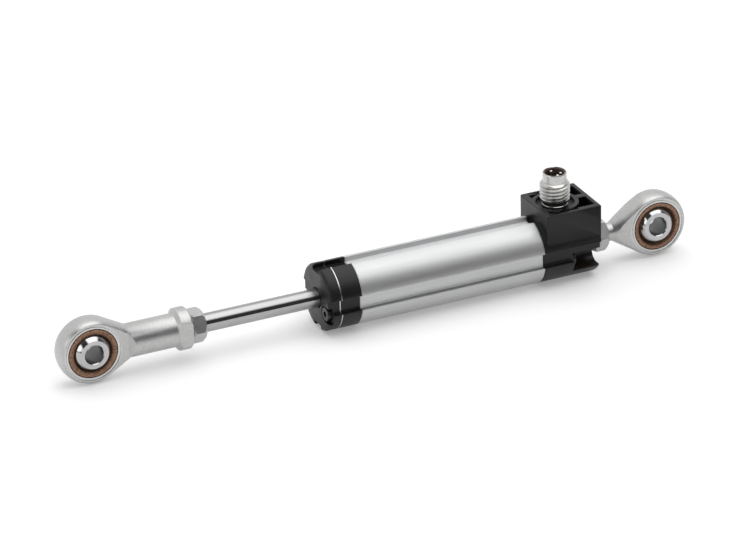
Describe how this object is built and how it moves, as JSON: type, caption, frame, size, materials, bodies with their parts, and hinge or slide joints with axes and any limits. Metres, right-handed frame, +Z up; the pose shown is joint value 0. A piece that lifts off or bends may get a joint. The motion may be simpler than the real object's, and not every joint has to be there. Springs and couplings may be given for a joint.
{
  "type": "linear potentiometer",
  "caption": "Slim linear potentiometer with a grooved round body, a sliding rod, a ball-jointed rod end at each end and an upright round plug connector.",
  "frame": {"origin": "centre of the rear ball joint, on the axis of the body", "axes": "+X along the stroke towards the fixed rear rod end, -Y towards the viewer of the picture, +Z up along the plug connector"},
  "size_m": [0.1786, 0.0176, 0.0297],
  "materials": {
    "anodised_tube": "satin natural anodised extrusion",
    "black_polymer": "black moulded thermoplastic, fine grain",
    "shim_plate": "thin bright plate",
    "bush_bronze": "sintered bronze bush",
    "rubber_black": "black seal rubber",
    "screw_steel": "dark steel socket screws",
    "insert_brass": "turned brass insert",
    "nickel_shell": "nickel plated turned brass",
    "connector_brown": "dark brown moulded insulator",
    "pin_silver": "bright plated contact pins",
    "board": "glass fibre board",
    "track_black": "conductive plastic track",
    "lead_insulation": "lead insulation",
    "carriage_polymer": "low friction polymer slide",
    "spring_contact": "bent contact springs",
    "rod_steel": "ground stainless rod",
    "zinc_steel": "bright zinc plated steel",
    "race_bronze": "sintered bronze race",
    "ball_chrome": "polished ball bearing steel"
  },
  "bodies": {
    "housing": {"profile_tube": "anodised_tube", "front_ring": "black_polymer", "rod_bush": "bush_bronze", "front_shim": "shim_plate", "front_flange": "black_polymer", "rod_seal": "rubber_black", "front_screws": "screw_steel", "rear_block": "black_polymer", "rear_screws": "screw_steel", "rear_thread_insert": "insert_brass", "connector_shell": "nickel_shell", "connector_insert": "connector_brown", "connector_pins": "pin_silver", "connector_seal": "rubber_black", "resistor_board": "board", "resistance_track": "track_black", "collector_track": "track_black", "lead_wires": "lead_insulation", "rear_lock_nut": "zinc_steel", "rear_rod_end": "zinc_steel", "rear_race": "race_bronze"},
    "rear_ball_body": {"rear_ball": "ball_chrome"},
    "carriage": {"wiper_carriage": "carriage_polymer", "wiper_contacts": "spring_contact"},
    "rod": {"actuator_rod": "rod_steel", "rod_retainer": "rod_steel", "front_lock_nut": "zinc_steel", "front_rod_end": "zinc_steel", "front_race": "race_bronze"},
    "front_ball_body": {"front_ball": "ball_chrome"}
  },
  "joints": [
    {"name": "rod_slide", "type": "slide", "parent": "housing", "child": "carriage", "axis": [-1, 0, 0], "range_m": [-0.028, 0.002]},
    {"name": "rod_turn", "type": "hinge", "parent": "carriage", "child": "rod", "pos_m": [-0.1, 0, 0], "axis": [1, 0, 0], "continuous": true},
    {"name": "front_pivot", "type": "hinge", "parent": "rod", "child": "front_ball_body", "pos_m": [-0.161, 0, 0], "axis": [0, -1, 0], "continuous": true},
    {"name": "rear_pivot", "type": "hinge", "parent": "housing", "child": "rear_ball_body", "pos_m": [0, 0, 0], "axis": [-0.056, -0.9961, 0.068], "continuous": true}
  ]
}
